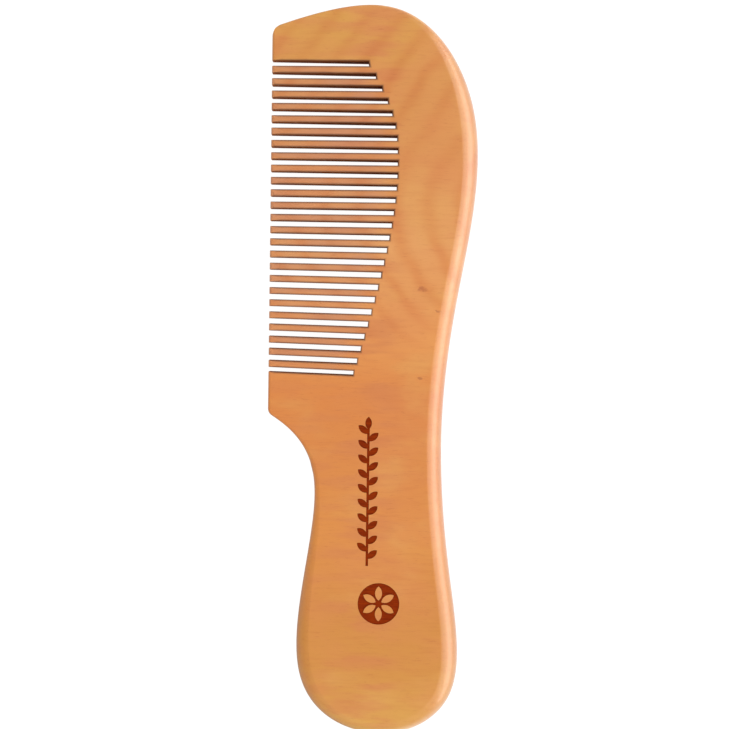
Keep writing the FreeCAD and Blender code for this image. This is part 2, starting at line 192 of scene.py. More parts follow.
class Loop:
    """Stations round one piece, clockwise: edge point, crease point, support point and edge width.

    joints holds the station numbers after which the piece meets its neighbour on a flat face.
    """

    def __init__(self):
        self.edge = []
        self.crease = []
        self.support = []
        self.width = []
        self.joints = set()

    def add(self, edge, crease, support, width):
        self.edge.append(np.asarray(edge, float))
        self.crease.append(np.asarray(crease, float))
        self.support.append(np.asarray(support, float))
        self.width.append(float(width))

    def sawn(self):
        """Which stations lie on a sawn gap, told by the width of their rounded edge."""
        return np.isclose(self.width, EDGE_WIDTH)

    def run(self, point, direction, width):
        """A station on a straight or gently curved stretch."""
        inward = right_of(unit(direction))
        self.add(point, point + inward * width, point + inward * (width + SUPPORT), width)

    def corner(self, point, before, width_before, after, width_after):
        """A station where two stretches meet; a width of 0 is a joint face that isn't rounded."""
        normals = np.array([right_of(unit(before)), right_of(unit(after))])
        widths = np.array([width_before, width_after])
        inset = np.linalg.solve(normals, widths)
        support = np.linalg.solve(normals, widths + SUPPORT * (widths > 0))
        self.add(point, point + inset, point + support, max(widths))

    def round_corner(self, point, before, width_before, after, width_after, radius, steps=4):
        """An arc in plan round a corner, whose creases all meet in one point."""
        before = unit(before)
        after = unit(after)
        normals = np.array([right_of(before), right_of(after)])
        inner = point + np.linalg.solve(normals, [width_before, width_after])
        support = point + np.linalg.solve(normals, [width_before + SUPPORT, width_after + SUPPORT])
        turn = math.acos(np.clip(before @ after, -1, 1))
        reach = radius * math.tan(turn / 2)
        centre = point - before * reach + right_of(before) * radius
        for step in range(steps + 1):
            share = step / steps
            angle = -turn * share
            spin = np.array([[math.cos(angle), -math.sin(angle)], [math.sin(angle), math.cos(angle)]])
            edge = centre - spin @ right_of(before) * radius
            self.add(edge, inner, support, width_before + (width_after - width_before) * share)

    def line(self, start, end, width, spacing=2.0):
        """Stations between two corners, leaving out the corners themselves."""
        length = np.linalg.norm(end - start)
        count = max(1, round(length / spacing))
        for step in range(1, count):
            self.run(start + (end - start) * step / count, end - start, width)

    def joint(self, end=None, margin=3.0, stretches=8):
        """A flat joint face from the last station on, in several stretches if its end is given."""
        self.joints.add(len(self.edge) - 1)
        if end is None:
            return
        start = self.edge[-1]
        share = margin / np.linalg.norm(end - start)
        for step in np.linspace(share, 1 - share, stretches):
            point = start + (end - start) * step
            self.add(point, point, point, 0.0)
            self.joints.add(len(self.edge) - 1)


def curve_length_steps(points, spacing):
    """Lengths along a polyline up to each of its points, and even steps from end to end."""
    lengths = np.concatenate([[0], np.cumsum(np.linalg.norm(np.diff(points, axis=0), axis=1))])
    count = max(2, round(lengths[-1] / spacing))
    return lengths, np.linspace(0, lengths[-1], count + 1)


OUTLINE_POLES = np.array([row[:2] for row in OUTLINE])
POLE_STEPS = OUTLINE_POLES[2:] - OUTLINE_POLES[:-2]
POLE_INWARD = np.vstack([[0, -1], [right_of(unit(step)) for step in POLE_STEPS], [0, 1]])
CREASE_POLES = OUTLINE_POLES + POLE_INWARD * np.array([[row[2]] for row in OUTLINE])
OUTLINE_END = len(OUTLINE) - 3
CROWN = (0, 4)
THROAT = (7, OUTLINE_END)


def outline_at(at):
    """Edge points, crease points and directions of the board's outline."""
    edge = spline(OUTLINE_POLES, at)
    crease = spline(CREASE_POLES, at)
    step = 1e-4
    ahead = spline(OUTLINE_POLES, np.minimum(np.asarray(at) + step, OUTLINE_END))
    behind = spline(OUTLINE_POLES, np.maximum(np.asarray(at) - step, 0))
    direction = (ahead - behind) / np.linalg.norm(ahead - behind, axis=1, keepdims=True)
    return edge, crease, direction


def outline_parameters(start, end, spacing=0.65):
    """Spline parameters evenly spaced along the outline between two parameters, both included."""
    dense = np.linspace(start, end, 2000)
    lengths, steps = curve_length_steps(spline(OUTLINE_POLES, dense), spacing)
    return np.interp(steps, lengths, dense)


def crossing(poles, start, end, origin, direction):
    """Parameter and point at which a spline first crosses a straight line."""
    dense = np.linspace(start, end, 8001)
    side = (spline(poles, dense) - origin) @ right_of(direction)
    first = np.nonzero(np.sign(side[:-1]) != np.sign(side[1:]))[0][0]
    share = side[first] / (side[first] - side[first + 1])
    at = dense[first] + share * (dense[first + 1] - dense[first])
    return at, spline(poles, [at])[0]


def line_crossing(point, direction, other, other_direction):
    """Where two straight lines cross."""
    shares = np.linalg.solve(np.array([direction, -np.asarray(other_direction)]).T, other - point)
    return point + direction * shares[0]


def add_outline(loop, start, end, joint=None):
    """Stations along the outline strictly between two parameters, clear of an acute joint line."""
    at = outline_parameters(start, end)[1:-1]
    edges, creases, directions = outline_at(at)
    for edge, crease, direction in zip(edges, creases, directions):
        support = crease + right_of(direction) * SUPPORT
        if joint and (support - joint[0]) @ right_of(joint[1]) < 2 * SUPPORT:
            continue
        loop.add(edge, crease, support, np.linalg.norm(crease - edge))


def outline_width(at):
    """Width of the rounded edge and direction of the outline at one parameter."""
    edge, crease, direction = outline_at([at])
    return np.linalg.norm(crease[0] - edge[0]), direction[0]


# Where the pieces meet: both sides of each tooth on the root line, and the two guards' joint lines.
RIGHT = np.array([1.0, 0.0])
UP = np.array([0.0, 1.0])
ROOTS = np.array(ROOT_LINE)
ROOT_END = len(ROOT_LINE) - 3
FRONT_ROOT = ROOTS[0]
HEEL_ROOT = ROOTS[-1]
GUARD_JOINT = np.array([GUARD_JOINT_X, FRONT_ROOT[1]])
HEEL_SIDE = unit([math.cos(math.radians(FAN_TURN)), -math.sin(math.radians(FAN_TURN))])
HEEL_JOINT_LINE = (np.array(HEEL_HEAD), unit(np.array(HEEL_FOOT) - np.array(HEEL_HEAD)))
HEEL_JOINT = line_crossing(HEEL_ROOT, HEEL_SIDE, *HEEL_JOINT_LINE)
HEEL_TIP = line_crossing(HEEL_ROOT, HEEL_SIDE, np.array([TIP_LINE, 0.0]), UP)


def tooth_sides(number):
    """Upper and lower side of a tooth as (point, direction towards the root)."""
    middle = number - 0.5
    share = max(0.0, (middle - STRAIGHT_TEETH) / (TOOTH_COUNT - STRAIGHT_TEETH))
    turn = math.radians(FAN_TURN * share)
    axis = np.array([math.cos(turn), -math.sin(turn)])
    across = np.array([math.sin(turn), math.cos(turn)])
    pivot = np.array([TOOTH_PIVOT, FIRST_GAP_Y - TOOTH_PITCH * middle])
    tip = pivot + axis * (TIP_LINE - TOOTH_PIVOT - SIDE_OVERRUN)
    root = pivot + axis * (ROOTS[:, 0].max() - TOOTH_PIVOT + SIDE_OVERRUN)
    sides = []
    for sign in (1, -1):
        start = tip + across * sign * TOOTH_TIP_WIDTH / 2
        end = root + across * sign * TOOTH_ROOT_WIDTH / 2
        sides.append((start, unit(end - start)))
    return sides


def root_crossing(side):
    """Where the side of a tooth meets the line of the roots."""
    return crossing(ROOTS, 0, ROOT_END, *side)[1]


def gap_sides(gap):
    """The sides above and below a gap; the gaps are counted from the front guard down."""
    above = tooth_sides(gap)[1] if gap > 0 else (FRONT_ROOT, RIGHT)
    below = tooth_sides(gap + 1)[0] if gap < TOOTH_COUNT else (HEEL_ROOT, HEEL_SIDE)
    return above, below


def gap_end(gap):
    """Upper and lower corner at the root of a gap, sawn squarer than the line of the roots."""
    above, below = gap_sides(gap)
    high = FRONT_ROOT if gap == 0 else root_crossing(above)
    low = HEEL_ROOT if gap == TOOTH_COUNT else root_crossing(below)
    slant = unit((high - low) * (SLOT_SLANT, 1))
    middle = (high + low) / 2
    return line_crossing(*above, middle, slant), line_crossing(*below, middle, slant)


def body_loop():
    """The body, from the front guard's joint over the crown and round to the root line."""
    loop = Loop()
    front_at, front_point = crossing(OUTLINE_POLES, *CROWN, GUARD_JOINT, UP)
    width, direction = outline_width(front_at)
    loop.corner(front_point, UP, 0, direction, width)
    heel_at, heel_point = crossing(OUTLINE_POLES, *THROAT, *HEEL_JOINT_LINE)
    add_outline(loop, front_at, heel_at)
    width, direction = outline_width(heel_at)
    loop.corner(heel_point, direction, width, -HEEL_JOINT_LINE[1], 0)
    loop.joint(HEEL_JOINT)
    loop.corner(HEEL_JOINT, -HEEL_JOINT_LINE[1], 0, HEEL_SIDE, EDGE_WIDTH)
    for gap in range(TOOTH_COUNT, -1, -1):
        above, below = gap_sides(gap)
        high, low = gap_end(gap)
        loop.corner(low, below[1], EDGE_WIDTH, high - low, EDGE_WIDTH)
        loop.line(low, high, EDGE_WIDTH, 0.5)
        loop.corner(high, high - low, EDGE_WIDTH, -above[1], EDGE_WIDTH)
        if gap > 0:
            following = gap_end(gap - 1)[1]
            loop.corner(high, following - high, 0, -above[1], EDGE_WIDTH)
            loop.joint()
            loop.corner(following, tooth_sides(gap)[0][1], EDGE_WIDTH, following - high, 0)
    loop.corner(GUARD_JOINT, -RIGHT, EDGE_WIDTH, UP, 0)
    loop.joint(front_point)
    return loop


def front_guard_loop():
    """The front guard, from its lower tip corner round the front corner to its joint."""
    loop = Loop()
    foot = np.array([TIP_LINE, FRONT_ROOT[1]])
    loop.round_corner(foot, -RIGHT, EDGE_WIDTH, UP, TIP_WIDTH, TIP_CORNER)
    corner = OUTLINE_POLES[0]
    width, direction = outline_width(0.0)
    turn = math.acos(np.clip(UP @ direction, -1, 1))
    reach = FRONT_CORNER * math.tan(turn / 2)
    loop.line(foot + UP * TIP_CORNER, corner - UP * reach, TIP_WIDTH, 0.8)
    loop.round_corner(corner, UP, TIP_WIDTH, direction, width, FRONT_CORNER, 10)
    at, point = crossing(OUTLINE_POLES, *CROWN, GUARD_JOINT, UP)
    dense = np.linspace(0, at, 2000)
    past = np.linalg.norm(spline(OUTLINE_POLES, dense) - corner, axis=1) > reach + CORNER_MARGIN
    add_outline(loop, dense[past][0], at)
    width, direction = outline_width(at)
    loop.corner(point, direction, width, -UP, 0)
    loop.joint(GUARD_JOINT)
    loop.corner(GUARD_JOINT, -UP, 0, -RIGHT, EDGE_WIDTH)
    loop.line(GUARD_JOINT, foot + RIGHT * TIP_CORNER, EDGE_WIDTH)
    return loop


def heel_guard_loop():
    """The heel guard, from its upper tip corner along the last gap, its joint and the throat."""
    loop = Loop()
    loop.round_corner(HEEL_TIP, UP, TIP_WIDTH, HEEL_SIDE, EDGE_WIDTH, TIP_CORNER)
    loop.line(HEEL_TIP + HEEL_SIDE * TIP_CORNER, HEEL_JOINT, EDGE_WIDTH)
    loop.corner(HEEL_JOINT, HEEL_SIDE, EDGE_WIDTH, HEEL_JOINT_LINE[1], 0)
    at, point = crossing(OUTLINE_POLES, *THROAT, *HEEL_JOINT_LINE)
    loop.joint(point)
    width, direction = outline_width(at)
    loop.corner(point, HEEL_JOINT_LINE[1], 0, direction, width)
    corner = OUTLINE_POLES[-1]
    width, direction = outline_width(OUTLINE_END)
    turn = math.acos(np.clip(UP @ direction, -1, 1))
    reach = HEEL_CORNER * math.tan(turn / 2)
    dense = np.linspace(at, OUTLINE_END, 2000)
    before = np.linalg.norm(spline(OUTLINE_POLES, dense) - corner, axis=1) > reach + CORNER_MARGIN
    add_outline(loop, at, dense[before][-1], HEEL_JOINT_LINE)
    loop.round_corner(corner, direction, width, UP, TIP_WIDTH, HEEL_CORNER, 6)
    loop.line(corner + UP * reach, HEEL_TIP - UP * TIP_CORNER, TIP_WIDTH, 0.8)
    return loop


def tooth_loop(number):
    """One tooth, from its blunt tip along the upper side to its joint and back."""
    loop = Loop()
    upper, lower = tooth_sides(number)
    tip_line = (np.array([TIP_LINE, 0.0]), UP)
    tip_low = line_crossing(*lower, *tip_line)
    tip_high = line_crossing(*upper, *tip_line)
    high = gap_end(number - 1)[1]
    low = gap_end(number)[0]
    loop.round_corner(tip_low, -lower[1], EDGE_WIDTH, UP, TIP_WIDTH, TIP_CORNER)
    loop.round_corner(tip_high, UP, TIP_WIDTH, upper[1], EDGE_WIDTH, TIP_CORNER)
    loop.line(tip_high + upper[1] * TIP_CORNER, high, EDGE_WIDTH)
    loop.corner(high, upper[1], EDGE_WIDTH, low - high, 0)
    loop.joint()
    loop.corner(low, low - high, 0, -lower[1], EDGE_WIDTH)
    loop.line(low, tip_low + lower[1] * TIP_CORNER, EDGE_WIDTH)
    return loop


def leaf_polygon(base, turn, size, steps=12):
    """A leaf outline of two equal arcs from its base to a tip that points along turn."""
    length, width = size
    radius = length**2 / (4 * width) + width / 4
    along = np.linspace(0, 1, steps + 1)
    half = np.sqrt(radius**2 - (length * (along - 0.5)) ** 2) - (radius - width / 2)
    axis = np.array([math.cos(math.radians(turn)), math.sin(math.radians(turn))])
    across = np.array([-axis[1], axis[0]])
    there = [base + axis * length * a + across * h for a, h in zip(along, half)]
    back = [base + axis * length * a - across * h for a, h in zip(along[-2:0:-1], half[-2:0:-1])]
    return there + back


def ornament_shapes():
    """Closed outlines of the burnt ornament, and of the petals left plain inside its roundel."""
    vine = np.array(VINE)
    width, length = STEM_SIZE
    ends = ((-1, 0), (1, 0), (1, 1), (-1, 1))
    burnt = [[vine + (s * width / 2, e * length) for s, e in ends]]
    for pair in range(LEAF_PAIRS):
        for side, turn in enumerate((LEAF_LEAN, 180 - LEAF_LEAN), start=1):
            base = vine + UP * LEAF_STEP * (pair + side / 2)
            burnt.append(leaf_polygon(base, turn, LEAF_SIZE))
    burnt.append(leaf_polygon(vine + UP * (length - width), 90, LEAF_SIZE))
    emblem = np.array(EMBLEM)
    turns = np.linspace(0, 2 * math.pi, 72, endpoint=False)
    burnt.append([emblem + EMBLEM_RADIUS * np.array([math.cos(t), math.sin(t)]) for t in turns])
    plain = []
    for petal in range(PETAL_COUNT):
        turn = 90 + 360 / PETAL_COUNT * petal
        outward = np.array([math.cos(math.radians(turn)), math.sin(math.radians(turn))])
        plain.append(leaf_polygon(emblem + outward * PETAL_START, turn, PETAL_SIZE))
    return burnt, plain


def inside(points, polygon):
    """Which points lie inside a polygon, by the even-odd rule."""
    points = np.asarray(points, float)
    x = points[:, 0]
    y = points[:, 1]
    result = np.zeros(len(points), bool)
    for start, end in zip(polygon, np.roll(polygon, -1, axis=0)):
        spans = (start[1] > y) != (end[1] > y)
        if not spans.any():
            continue
        at = start[0] + (y - start[1]) / (end[1] - start[1]) * (end[0] - start[0])
        result ^= spans & (x < at)
    return result


def anticlockwise(numbers, points):
    """The numbers of a polygon's corners, in the order that runs anticlockwise."""
    corners = np.array([points[n] for n in numbers])
    following = np.roll(corners, -1, axis=0)
    area = np.sum(corners[:, 0] * following[:, 1] - corners[:, 1] * following[:, 0])
    return list(numbers) if area > 0 else list(numbers)[::-1]


def fill_face(border, shapes, spacing=2.5):
    """Triangles over a face whose border is a polygon, cut along the shapes drawn on it.

    Returns the points, the triangles, the border points behind each point and each one's shapes.
    """
    border = np.asarray(border)
    low = border.min(axis=0)
    high = border.max(axis=0)
    grid = np.mgrid[low[0] : high[0] : spacing, low[1] : high[1] : spacing].reshape(2, -1).T
    grid = grid[inside(grid, border)]
    clear = [np.min(np.linalg.norm(border - point, axis=1)) > spacing / 2 for point in grid]
    points = list(border) + [point for point, free in zip(grid, clear) if free]
    faces = [anticlockwise(range(len(border)), points)]
    for shape in shapes:
        first = len(points)
        points.extend(shape)
        faces.append(anticlockwise(range(first, len(points)), points))
    result = delaunay_2d_cdt([Vector(point) for point in points], [], faces, 1, 1e-5)
    return np.array([tuple(v) for v in result[0]]), result[2], result[3], result[5]


class Shell:
    """Vertices and faces of one piece; vertices are (x, y, z) in millimetres about the mid-plane."""

    def __init__(self):
        self.points = []
        # How much saw burn and painted shade darken each point at the gaps.
        self.saw_burn_and_shade = []
        self.faces = []
        self.materials = []

    def add_points(self, plan, heights, saw_burn_and_shade=None):
        first = len(self.points)
        self.points.extend((p[0], p[1], z) for p, z in zip(plan, heights))
        self.saw_burn_and_shade.extend(np.zeros(len(plan)) if saw_burn_and_shade is None else saw_burn_and_shade)
        return list(range(first, len(self.points)))

    def add_face(self, corners, material=WOOD):
        self.faces.append(corners)
        self.materials.append(material)


def edge_rings(loop):
    """Plan points, heights and gap darkening of the rings from mid-wall up to just inside the crease; the
    darkening is saw burn and painted shade.
    """
    edge = np.array(loop.edge)
    crease = np.array(loop.crease)
    width = np.array(loop.width)
    slope = np.radians(CREASE_SLOPE * np.minimum(1, width / FULL_SLOPE_WIDTH))
    drop = np.minimum(face_height(edge[:, 0], edge[:, 1]) - LEAST_WALL, DROP_PER_WIDTH * width)
    rings = []
    for share in list(np.linspace(0, 1, BEVEL_STEPS)) + [1.0]:
        last = len(rings) == BEVEL_STEPS
        extra = 0 if last else math.radians(CREASE_TURN)
        lean = math.pi / 2 + (slope + extra - math.pi / 2) * share
        across = (1 - np.sin(lean)) / (1 - np.sin(slope))
        plan = edge + (crease - edge) * across[:, None]
        height = face_height(plan[:, 0], plan[:, 1]) - drop * (1 - np.cos(lean) / np.cos(slope))
        # Darkening at the gaps' walls, fading onto the rounded edge: saw burn and painted shade.
        rings.append((plan, height, loop.sawn() * np.exp(-((across * width / BURN_AND_SHADE_DEPTH) ** 2))))
    return rings


def build_shell(loop, burnt=(), plain=()):
    """Closed surface of a piece: rounded edges, flat joint faces and two filled faces."""
    shell = Shell()
    rings = edge_rings(loop)
    points, triangles, sources, owners = fill_face(loop.support, [*burnt, *plain])
    heights = face_height(points[:, 0], points[:, 1])
    marked = [any(0 < o <= len(burnt) for o in own) and max(own) <= len(burnt) for own in owners]
    count = len(loop.edge)
    at_border = {original: index for index, source in enumerate(sources) for original in source}
    sawn = loop.sawn()
    columns = [[] for _ in range(count)]
    for sign in (1, -1):
        levels = [shell.add_points(plan, sign * height, saw_burn_and_shade) for plan, height, saw_burn_and_shade in rings]
        face = shell.add_points(points, sign * heights)
        add_face_triangles(shell, face, triangles, marked if sign > 0 else [False] * len(triangles))
        levels.append([face[at_border[i]] for i in range(count)])
        for i in range(count):
            column = [level[i] for level in levels]
            columns[i] = column[::-1] if sign > 0 else columns[i] + column
    for i, left in enumerate(columns):
        right = columns[(i + 1) % count]
        if i in loop.joints:
            shell.add_face(left + right[::-1])
            continue
        in_gap = sawn[i] and sawn[(i + 1) % count]
        for j in range(len(left) - 1):
            # Strips about mid-wall in a gap get the darker wall material: saw burn and painted shade.
            burn_and_shade_strip = in_gap and abs(j - len(rings)) <= BURN_AND_SHADE_STRIPS
            shell.add_face([left[j], left[j + 1], right[j + 1], right[j]], SAWN_BURN_AND_SHADE if burn_and_shade_strip else WOOD)
    return shell


def add_face_triangles(shell, face, triangles, marked):
    """One face of the board; marked triangles are burnt in below it, with upright walls round them."""
    lowered = {}
    sides = set()
    for corners, is_marked in zip(triangles, marked):
        if not is_marked:
            shell.add_face([face[c] for c in corners])
            continue
        for corner in corners:
            if corner not in lowered:
                x, y, z = shell.points[face[corner]]
                lowered[corner] = shell.add_points([(x, y)], [z - ENGRAVING_DEPTH])[0]
        shell.add_face([lowered[c] for c in corners], BURNT)
        sides.update(zip(corners, [*corners[1:], corners[0]]))
    for start, end in sorted(sides):
        if (end, start) not in sides:
            shell.add_face([lowered[end], lowered[start], face[start], face[end]], BURNT)


def make_piece(name, shell, node, materials, root=None):
    """A mesh object in the frame's place, smooth but for sharp corners, standing for its CAD node.

    root is the x at which a tooth meets the body; the wood looks handled from there to the tip.
    """
    mesh = bpy.data.meshes.new(name)
    mesh.from_pydata([tuple((np.array(p) + SHIFT) * MM) for p in shell.points], [], shell.faces)
    mesh.polygons.foreach_set("material_index", shell.materials)
    for material in materials:
        mesh.materials.append(material)
    # The per-point darkening of the gaps' walls is partly saw burn and partly painted shade.
    mesh.attributes.new("saw_burn_and_shade", "FLOAT", "POINT").data.foreach_set("value", shell.saw_burn_and_shade)
    along = np.array([point[0] for point in shell.points])
    handled = np.zeros(len(along)) if root is None else smoothstep((root - along) / HANDLED_FADE)
    mesh.attributes.new("handled", "FLOAT", "POINT").data.foreach_set("value", handled)
    work = bmesh.new()
    work.from_mesh(mesh)
    bmesh.ops.remove_doubles(work, verts=work.verts, dist=1e-4 * MM)
    bmesh.ops.recalc_face_normals(work, faces=work.faces)
    for face in work.faces:
        face.smooth = True
    for edge in work.edges:
        edge.smooth = len(edge.link_faces) == 2 and edge.calc_face_angle(0) < SHARP_ANGLE
    open_edges = [edge for edge in work.edges if len(edge.link_faces) != 2]
    if open_edges:
        raise RuntimeError(f"{name} has {len(open_edges)} open edges")
    work.to_mesh(mesh)
    work.free()
    piece = bpy.data.objects.new(name, mesh)
    bpy.context.scene.collection.objects.link(piece)
    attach(piece, "root")
    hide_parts(node)
    return piece


CAD_LOW = np.array(cad_bounds[0]) / MM
CAD_HIGH = np.array(cad_bounds[1]) / MM
OUTLINE_LOW = spline(OUTLINE_POLES, np.linspace(0, OUTLINE_END, 20001)).min(axis=0)
SHIFT = np.array([CAD_LOW[0] - TIP_LINE, CAD_LOW[1] - OUTLINE_LOW[1], (CAD_LOW[2] + CAD_HIGH[2]) / 2])


def linear(red, green, blue):
    """A colour given as it shows on screen, 0 to 255, as the shader's linear values."""
    shares = np.array([red, green, blue]) / 255
    values = np.where(shares <= 0.04045, shares / 12.92, ((shares + 0.055) / 1.055) ** 2.4)
    return (*[float(v) for v in values], 1.0)


class Graph:
    """Short calls for a material's nodes; an input takes a number, a vector or another's output."""

    def __init__(self, name):
        self.material = bpy.data.materials.new(name)
        self.material.use_nodes = True
        self.tree = self.material.node_tree
        self.shader = self.tree.nodes["Principled BSDF"]

    def feed(self, socket, value):
        if isinstance(value, bpy.types.NodeSocket):
            self.tree.links.new(value, socket)
        else:
            socket.default_value = value

    def node(self, kind, inputs, output=0, **settings):
        node = self.tree.nodes.new(kind)
        for key, value in settings.items():
            setattr(node, key, value)
        for key, value in inputs.items():
            self.feed(node.inputs[key], value)
        return node.outputs[output]

    def math(self, operation, *values, clamp=False):
        inputs = dict(enumerate(values))
        return self.node("ShaderNodeMath", inputs, operation=operation, use_clamp=clamp)

    def vector(self, operation, *values):
        return self.node("ShaderNodeVectorMath", dict(enumerate(values)), operation=operation)

    def mix(self, share, first, second, blend="MIX"):
        inputs = {0: share, 6: first, 7: second}
        return self.node("ShaderNodeMix", inputs, 2, data_type="RGBA", blend_type=blend)

    def band(self, value, low, high, start=0.0, end=1.0):
        """A value mapped smoothly from low..high to start..end and held outside."""
        inputs = {"Value": value, 1: low, 2: high, 3: start, 4: end}
        return self.node("ShaderNodeMapRange", inputs, interpolation_type="SMOOTHSTEP")

    def noise(self, position, scale, detail=2.0, roughness=0.5, output=0):
        """Noise with its own number of cells per millimetre along each axis."""
        stretched = self.vector("MULTIPLY", position, scale)
        inputs = {"Vector": stretched, "Scale": 1.0, "Detail": detail, "Roughness": roughness}
        return self.node("ShaderNodeTexNoise", inputs, output)

    def ramp(self, value, stops):
        node = self.tree.nodes.new("ShaderNodeValToRGB")
        elements = node.color_ramp.elements
        while len(elements) < len(stops):
            elements.new(1.0)
        for element, (position, color) in zip(elements, stops):
            element.position = position
            element.color = color
        self.feed(node.inputs[0], value)
        return node.outputs[0]

    def plan_position(self):
        """The point's place in the part's plan, in millimetres about the board's middle."""
        place = self.node("ShaderNodeTexCoord", {}, "Object")
        to_plan = {0: place, 1: (1 / MM,) * 3, 2: tuple(-SHIFT)}
        return self.node("ShaderNodeVectorMath", to_plan, operation="MULTIPLY_ADD")

    def axes(self, position):
        split = self.tree.nodes.new("ShaderNodeSeparateXYZ")
        self.feed(split.inputs[0], position)
        return split.outputs


# Growth rings: nested arches that open towards the spine, steeper and finer along the handle.
RING_APEX_Y = 41.0
RING_BLUNTNESS = 8.0
RING_SPREAD = 0.7
RING_PERIOD = 8.3
RING_PHASE = 12.6

# Pin knots as (x, y, radius), drawn out along the fibres, which run across the comb.
KNOT_FLATNESS = 0.55
PIN_KNOTS = [(12.2, 20.1, 0.45), (16.2, 14.7, 0.22), (11.8, -1.9, 0.25)]

# The wood's colour along the board as (y, screen colour), on a ramp this long about the middle.
RAMP_LENGTH = 180
TONES_ALONG_BOARD = [
    (-90, (226, 167, 72)),
    (-75, (217, 144, 52)),
    (-60, (216, 138, 50)),
    (-42, (226, 142, 54)),
    (-22, (224, 136, 56)),
    (-6, (226, 134, 54)),
    (8, (235, 154, 76)),
    (30, (233, 160, 89)),
    (50, (223, 145, 72)),
    (70, (221, 147, 68)),
    (88, (222, 158, 60)),
]


def add_rings(graph, position):
    """How dark the growth rings are, 0 to 1; radius is the distance from the line of the apexes."""
    wander = graph.noise(position, (0.035, 0.05, 0.05), 2.0, output=1)
    wander = graph.vector("MULTIPLY", graph.vector("SUBTRACT", wander, (0.5,) * 3), (9.0, 7.0, 0.0))
    x, y, z = graph.axes(graph.vector("ADD", position, wander))
    beside = graph.math("SUBTRACT", y, RING_APEX_Y)
    under = graph.math("MULTIPLY_ADD", z, 0.6, RING_BLUNTNESS - 0.3 * THICKNESS)
    squares = graph.math("ADD", graph.math("POWER", beside, 2.0), graph.math("POWER", under, 2.0))
    radius = graph.math("SQRT", squares)
    arch = graph.math("MULTIPLY_ADD", radius, -RING_SPREAD, RING_SPREAD * RING_BLUNTNESS)
    below = graph.math("MAXIMUM", graph.math("SUBTRACT", 25.0, y), 0.0)
    steep = graph.math("MULTIPLY", graph.math("MULTIPLY", below, below), -0.012)
    level = graph.math("ADD", graph.math("ADD", x, arch), steep)
    per_mm = 2 * math.pi / RING_PERIOD
    turn = graph.math("MULTIPLY_ADD", level, per_mm, -per_mm * RING_PHASE)
    wave = graph.math("MULTIPLY_ADD", graph.math("COSINE", turn), 0.5, 0.5)
    late_wood = graph.math("POWER", wave, 2.0)
    patches = graph.band(graph.noise(position, (0.03, 0.04, 0.04)), 0.35, 0.65, 0.35, 1.0)
    handle = graph.band(graph.axes(position)[1], -5.0, 25.0, 0.12, 1.0)
    return graph.math("MULTIPLY", graph.math("MULTIPLY", late_wood, patches), handle)


def add_handling(graph, position):
    """How much use has dulled the wood of the teeth, a little unlike from tooth to tooth."""
    handled = graph.node("ShaderNodeAttribute", {}, "Fac", attribute_name="handled")
    uneven = graph.band(graph.noise(position, (0.05, 0.33, 0.33)), 0.35, 0.65, 0.28, 0.72)
    return graph.math("MULTIPLY", handled, uneven)


def add_knots(graph, position):
    """How strongly the pin knots colour the wood, 0 to 1."""
    ragged = graph.noise(position, (0.9, 0.9, 0.9), 2.0, output=1)
    ragged = graph.vector("MULTIPLY", graph.vector("SUBTRACT", ragged, (0.5,) * 3), (3.0, 1.4, 0.0))
    flat = graph.vector("MULTIPLY", graph.vector("ADD", position, ragged), (KNOT_FLATNESS, 1.0, 0.0))
    total = 0.0
    for x, y, radius in PIN_KNOTS:
        ends = {0: flat, 1: (KNOT_FLATNESS * x, y, 0.0)}
        away = graph.node("ShaderNodeVectorMath", ends, "Value", operation="DISTANCE")
        core = graph.band(away, radius * 0.3, radius * 2.0, 1.0, 0.0)
        total = graph.math("MAXIMUM", core, total)
    return total


